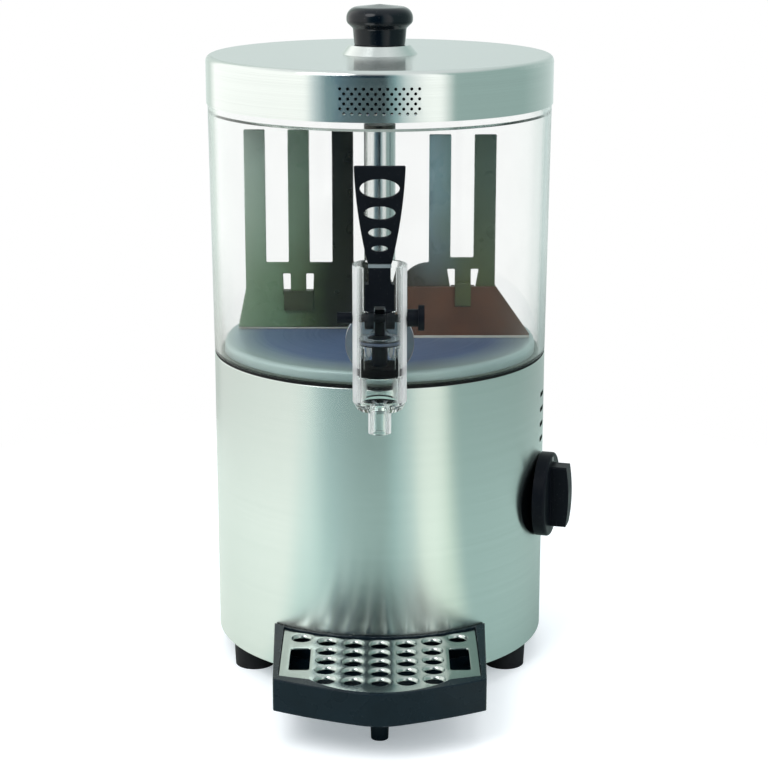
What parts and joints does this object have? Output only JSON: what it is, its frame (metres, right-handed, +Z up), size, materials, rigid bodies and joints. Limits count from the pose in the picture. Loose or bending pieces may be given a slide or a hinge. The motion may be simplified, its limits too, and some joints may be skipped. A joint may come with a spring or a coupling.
{
  "type": "hot chocolate dispenser",
  "caption": "Countertop hot chocolate dispenser: heated steel base, clear lift-off tank with stirrer and piston tap, steel lid, drip tray with grid.",
  "frame": {"origin": "on the counter, under the tank's axis", "axes": "+Z up along the tank's axis, -Y to the tap and drip tray, +X to the side near the dial"},
  "size_m": [0.2515, 0.3422, 0.454],
  "materials": {
    "casing_steel": "brushed round the casing",
    "sheet_steel": "plain rolled",
    "bright_steel": "bright",
    "alloy": "machined",
    "element_sheath": "heat darkened",
    "motor_paint": "satin black",
    "bush_brass": "turned",
    "black_rubber": "matt",
    "clear_rubber": "translucent",
    "clear_plastic": "clear, polished",
    "tap_nut_plastic": "pale",
    "smoke_plastic": "smoked",
    "black_plastic": "fine grain",
    "pale_plastic": "pale grey",
    "stirrer_plastic": "dark olive",
    "scraper_silicone": "brown",
    "lid_ring_silicone": "pale",
    "thermostat_plastic": "moulded",
    "tray_plastic": "satin black",
    "grid_chrome": "bright"
  },
  "bodies": {
    "base": {"base_shell": "casing_steel", "base_plate": "sheet_steel", "rubber_feet": "black_rubber", "foot_screws": "bright_steel", "foot_nuts": "bright_steel", "heating_pan": "sheet_steel", "tank_seal": "black_rubber", "heat_spreader": "alloy", "heating_element": "element_sheath", "safety_cutout": "thermostat_plastic", "centre_column": "bright_steel", "column_bushes": "bush_brass", "motor_standoffs": "sheet_steel", "motor_plate": "sheet_steel", "gear_motor": "motor_paint", "motor_screws": "bright_steel", "thermostat_body": "thermostat_plastic", "thermostat_nut": "bright_steel", "cable_gland": "black_plastic", "gland_nut": "black_plastic", "switch_housing": "black_plastic", "terminal_block": "thermostat_plastic"},
    "tank": {"tank": "clear_plastic", "tap_gasket": "clear_rubber", "tap_washer": "clear_rubber", "tap_nut": "tap_nut_plastic", "tap_body": "clear_plastic", "pivot_pin": "black_plastic", "pivot_knob": "black_plastic"},
    "lid": {"lid_shell": "casing_steel", "lid_ring": "lid_ring_silicone", "vent_baffle": "black_plastic", "lid_knob": "black_plastic", "lid_screw": "bright_steel"},
    "stirrer": {"motor_shaft": "bright_steel", "shaft_coupling": "alloy", "drive_shaft": "bright_steel", "stirrer_sleeve": "bright_steel", "stirrer_cap": "stirrer_plastic", "stirrer_paddles": "stirrer_plastic", "long_scraper": "scraper_silicone", "short_scraper": "scraper_silicone"},
    "tap_lever": {"tap_lever": "black_plastic", "lever_collar": "pale_plastic", "lever_handle": "black_plastic", "lever_pin": "bright_steel"},
    "tap_piston": {"tap_piston": "smoke_plastic", "piston_ring": "clear_rubber", "piston_seal": "black_rubber"},
    "thermostat_dial": {"thermostat_dial": "black_plastic", "thermostat_spindle": "bright_steel", "dial_pointer": "pale_plastic"},
    "drip_tray": {"drip_tray": "tray_plastic", "tray_foot": "tray_plastic"},
    "drip_grid": {"drip_grid": "grid_chrome"},
    "switch_rocker": {"switch_rocker": "black_plastic"}
  },
  "joints": [
    {"name": "tank_lift", "type": "slide", "parent": "base", "child": "tank", "axis": [0, 0, 1], "range_m": [0, 0.2]},
    {"name": "lid_lift", "type": "slide", "parent": "tank", "child": "lid", "axis": [0, 0, 1], "range_m": [0, 0.12]},
    {"name": "stirrer_spin", "type": "hinge", "parent": "base", "child": "stirrer", "pos_m": [0, 0, 0.227], "axis": [0, 0, 1], "continuous": true},
    {"name": "tap_pull", "type": "hinge", "parent": "tank", "child": "tap_lever", "pos_m": [0, -0.148, 0.27173], "axis": [1, 0, 0], "range_deg": [0, 36]},
    {"name": "piston_rise", "type": "slide", "parent": "tank", "child": "tap_piston", "axis": [0, 0, 1], "range_m": [0, 0.00508]},
    {"name": "dial_turn", "type": "hinge", "parent": "base", "child": "thermostat_dial", "pos_m": [0.11082, -0.03073, 0.1195], "axis": [0.9636, -0.2672, 0], "range_deg": [-270, 0]},
    {"name": "tray_pull", "type": "slide", "parent": "base", "child": "drip_tray", "axis": [0, -1, 0], "range_m": [0, 0.1]},
    {"name": "grid_lift", "type": "slide", "parent": "drip_tray", "child": "drip_grid", "axis": [0, 0, 1], "range_m": [0, 0.05]},
    {"name": "switch_rock", "type": "hinge", "parent": "base", "child": "switch_rocker", "pos_m": [0, 0.1138, 0.079], "axis": [1, 0, 0], "range_deg": [-16, 0]}
  ],
  "couplings": [
    {"joint": "piston_rise", "follows": "tap_pull", "m_per_rad": 0.008}
  ]
}
